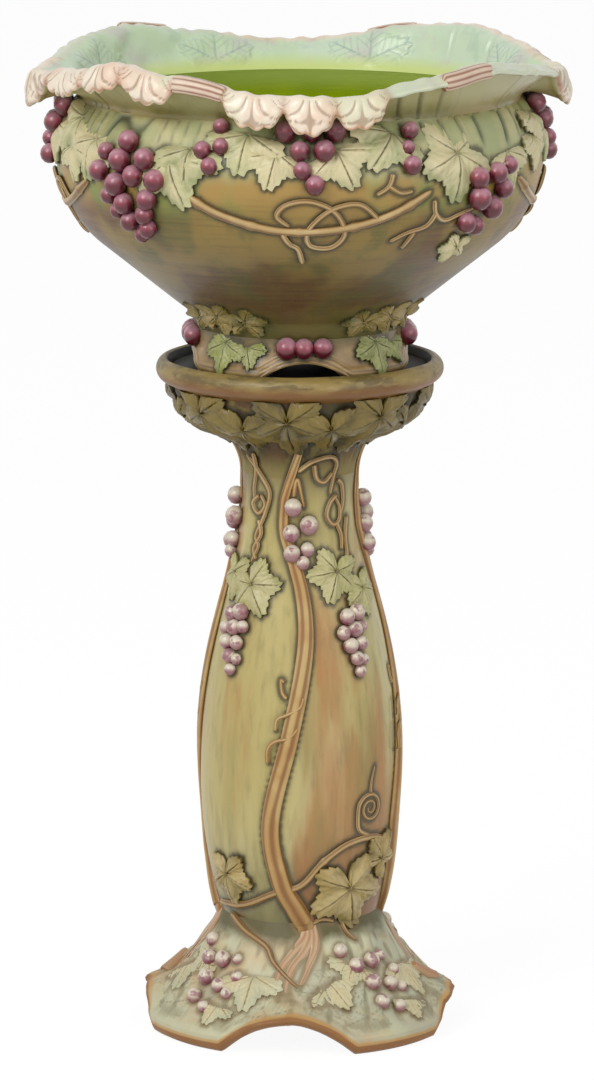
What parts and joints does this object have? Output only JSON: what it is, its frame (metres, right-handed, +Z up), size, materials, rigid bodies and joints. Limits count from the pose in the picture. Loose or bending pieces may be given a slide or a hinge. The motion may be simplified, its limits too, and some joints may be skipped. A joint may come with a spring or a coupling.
{
  "type": "jardiniere on stand",
  "caption": "Glazed earthenware planter bowl with a ruffled leaf rim, standing loose in the dish of a tall vase-shaped pedestal, both covered in vine leaves, stems and grapes",
  "frame": {"origin": "on the floor, under the middle of the stand", "axes": "+Z up, the front faces -Y, +X to the right seen from the front"},
  "size_m": [0.5334, 0.5156, 0.9954],
  "materials": {
    "base_glaze": "satin glaze",
    "column_glaze": "satin glaze",
    "dish_glaze": "satin glaze",
    "bark_glaze": "satin glaze",
    "grape_glaze": "satin glaze",
    "pale_grape_glaze": "satin glaze",
    "leaf_glaze": "satin glaze",
    "bowl_glaze": "satin glaze",
    "rim_glaze": "satin glaze"
  },
  "bodies": {
    "pedestal": {"pedestal_base": "base_glaze", "pedestal_column": "column_glaze", "pedestal_collar": "dish_glaze", "pedestal_dish": "dish_glaze", "vine_trunk_front": "bark_glaze", "vine_trunk_right": "bark_glaze", "vine_trunk_back": "bark_glaze", "vine_trunk_left": "bark_glaze", "neck_bunches": "pale_grape_glaze", "side_bunches": "pale_grape_glaze", "base_bunches": "pale_grape_glaze", "upper_leaves": "leaf_glaze", "upper_tendrils": "bark_glaze", "low_branches": "bark_glaze", "spiral_tendrils": "bark_glaze", "lower_leaves": "leaf_glaze", "base_leaves": "leaf_glaze", "collar_leaves": "leaf_glaze"},
    "jardiniere": {"bowl_wall": "bowl_glaze", "bowl_rim": "rim_glaze", "bowl_foot": "bowl_glaze", "rim_stems": "bark_glaze", "shoulder_bunches": "grape_glaze", "hanging_bunches": "grape_glaze", "small_bunches": "grape_glaze", "swag_vines": "bark_glaze", "tendril_knots": "bark_glaze", "forked_tendrils": "bark_glaze", "wide_leaves": "leaf_glaze", "shoulder_leaves": "leaf_glaze", "foot_grapes": "grape_glaze", "foot_leaves": "leaf_glaze"}
  },
  "joints": [
    {"name": "jardiniere_lift", "type": "slide", "parent": "pedestal", "child": "jardiniere", "axis": [0, 0, 1], "range_m": [0, 0.15]}
  ]
}
